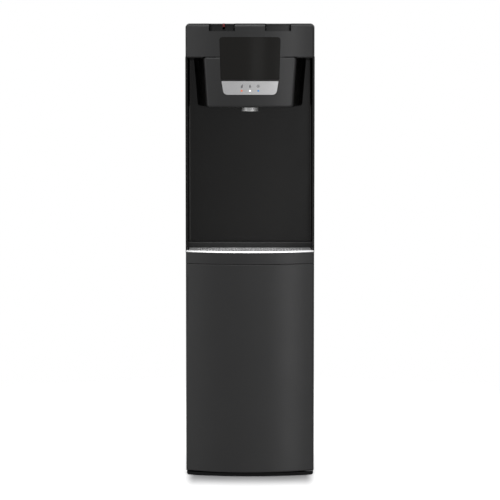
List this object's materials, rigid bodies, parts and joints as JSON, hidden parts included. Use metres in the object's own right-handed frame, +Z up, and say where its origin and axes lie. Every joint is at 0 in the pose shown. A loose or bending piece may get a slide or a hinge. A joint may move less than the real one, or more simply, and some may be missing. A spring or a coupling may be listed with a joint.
{
  "type": "floor-standing water dispenser",
  "caption": "Floor-standing bottom-loading hot and cold water dispenser with a bowed front, gloss black dispensing recess, drip tray and a hinged bottle door.",
  "frame": {"origin": "on the floor, under the middle of the machine's bounding box", "axes": "+X to the right of a person facing it, -Y towards that person, +Z up"},
  "size_m": [0.318, 0.372, 1.118],
  "materials": {
    "graphite_shell": "moulded, fine satin grain",
    "graphite_door": "moulded, fine satin grain",
    "gloss_black": "high gloss",
    "display_tint": "tinted gloss window",
    "silver_plate": "silver paint",
    "chrome_trim": "polished plating",
    "grille_grey": "silver-grey moulding",
    "black_plastic": "moulded",
    "paddle_plastic": "satin with bright front edge",
    "black_paint": "powder coat",
    "zinc_sheet": "galvanised sheet",
    "bright_steel": "bright steel",
    "copper": "drawn copper tube",
    "white_plastic": "moulded",
    "black_rubber": "moulded rubber",
    "clear_hose": "silicone hose",
    "magnet_grey": "magnet strip",
    "foam": "expanded foam insulation",
    "board_green": "solder mask",
    "red_plastic": "moulded red",
    "green_plastic": "moulded green",
    "red_light": "light pipe",
    "white_light": "light pipe",
    "blue_light": "light pipe"
  },
  "bodies": {
    "cabinet": {"alcove_panel": "gloss_black", "base_pan": "black_plastic", "bottle_probe": "white_plastic", "circuit_boards": "board_green", "cold_indicator": "blue_light", "cold_paddle_spring": "bright_steel", "cold_tank": "bright_steel", "compressor": "black_paint", "compressor_grommets": "black_rubber", "condenser_tube": "black_paint", "condenser_wires": "black_paint", "display_lens": "display_tint", "drain_spigot": "black_plastic", "evaporator_coil": "copper", "head_shroud": "gloss_black", "heater_band": "bright_steel", "hinge_pins": "bright_steel", "hood": "graphite_shell", "hot_indicator": "red_light", "hot_paddle_spring": "bright_steel", "hot_tank": "bright_steel", "indicator_plate": "silver_plate", "left_side_panel": "black_paint", "lower_hinge_plate": "bright_steel", "mains_gland": "black_plastic", "microswitches": "black_plastic", "nose_cover": "graphite_shell", "nozzle_ring": "chrome_trim", "paddle_frame": "black_plastic", "panel_carrier": "black_plastic", "partition_shelf": "zinc_sheet", "power_indicator": "white_light", "pump": "white_plastic", "rear_lower_panel": "zinc_sheet", "rear_screws": "bright_steel", "rear_upper_panel": "zinc_sheet", "refrigerant_lines": "copper", "relay_box": "black_plastic", "right_side_panel": "black_paint", "rubber_feet": "black_rubber", "spout_insert": "black_plastic", "switch_plate": "black_plastic", "tank_insulation": "foam", "tank_shelf": "zinc_sheet", "tray_housing": "graphite_door", "trim_strip": "chrome_trim", "water_hoses": "clear_hose", "water_valves": "white_plastic"},
    "door": {"door_skin": "graphite_door", "door_liner": "white_plastic", "door_magnet": "magnet_grey", "door_bumpers": "black_rubber"},
    "hot_paddle": {"hot_paddle": "paddle_plastic"},
    "cold_paddle": {"cold_paddle": "paddle_plastic"},
    "safety_catch": {"safety_catch": "red_plastic"},
    "drip_tray": {"drip_tray": "black_plastic"},
    "drip_grille": {"drip_grille": "grille_grey"},
    "hot_switch": {"hot_switch": "red_plastic"},
    "cold_switch": {"cold_switch": "green_plastic"},
    "drain_cap": {"drain_cap": "black_plastic"}
  },
  "joints": [
    {"name": "door_hinge", "type": "hinge", "parent": "cabinet", "child": "door", "pos_m": [0.151, -0.144, 0.27], "axis": [0, 0, 1], "range_deg": [0, 110]},
    {"name": "hot_paddle_press", "type": "hinge", "parent": "cabinet", "child": "hot_paddle", "pos_m": [-0.06875, -0.103, 1.107], "axis": [1, 0, 0], "range_deg": [0, 6], "stiffness_Nm_per_rad": 1.2, "springref_deg": -6.88, "deforming": ["hot_paddle_spring"]},
    {"name": "cold_paddle_press", "type": "hinge", "parent": "cabinet", "child": "cold_paddle", "pos_m": [0.06875, -0.103, 1.107], "axis": [1, 0, 0], "range_deg": [0, 6], "stiffness_Nm_per_rad": 1.2, "springref_deg": -6.88, "deforming": ["cold_paddle_spring"]},
    {"name": "safety_catch_slide", "type": "slide", "parent": "hot_paddle", "child": "safety_catch", "axis": [0, 1, 0], "range_m": [0, 0.004], "stiffness_N_per_m": 60, "springref_m": -0.002},
    {"name": "drip_tray_lift", "type": "slide", "parent": "cabinet", "child": "drip_tray", "axis": [0, 0, 1], "range_m": [0, 0.08]},
    {"name": "drip_grille_lift", "type": "slide", "parent": "drip_tray", "child": "drip_grille", "axis": [0, 0, 1], "range_m": [0, 0.04]},
    {"name": "hot_switch_rock", "type": "hinge", "parent": "cabinet", "child": "hot_switch", "pos_m": [0.042, 0.148, 1.002], "axis": [1, 0, 0], "range_deg": [-20, 0]},
    {"name": "cold_switch_rock", "type": "hinge", "parent": "cabinet", "child": "cold_switch", "pos_m": [0.08, 0.148, 1.002], "axis": [1, 0, 0], "range_deg": [-20, 0]},
    {"name": "drain_cap_turn", "type": "hinge", "parent": "cabinet", "child": "drain_cap", "pos_m": [0.108, 0.165, 0.6], "axis": [0, 1, 0], "continuous": true}
  ]
}
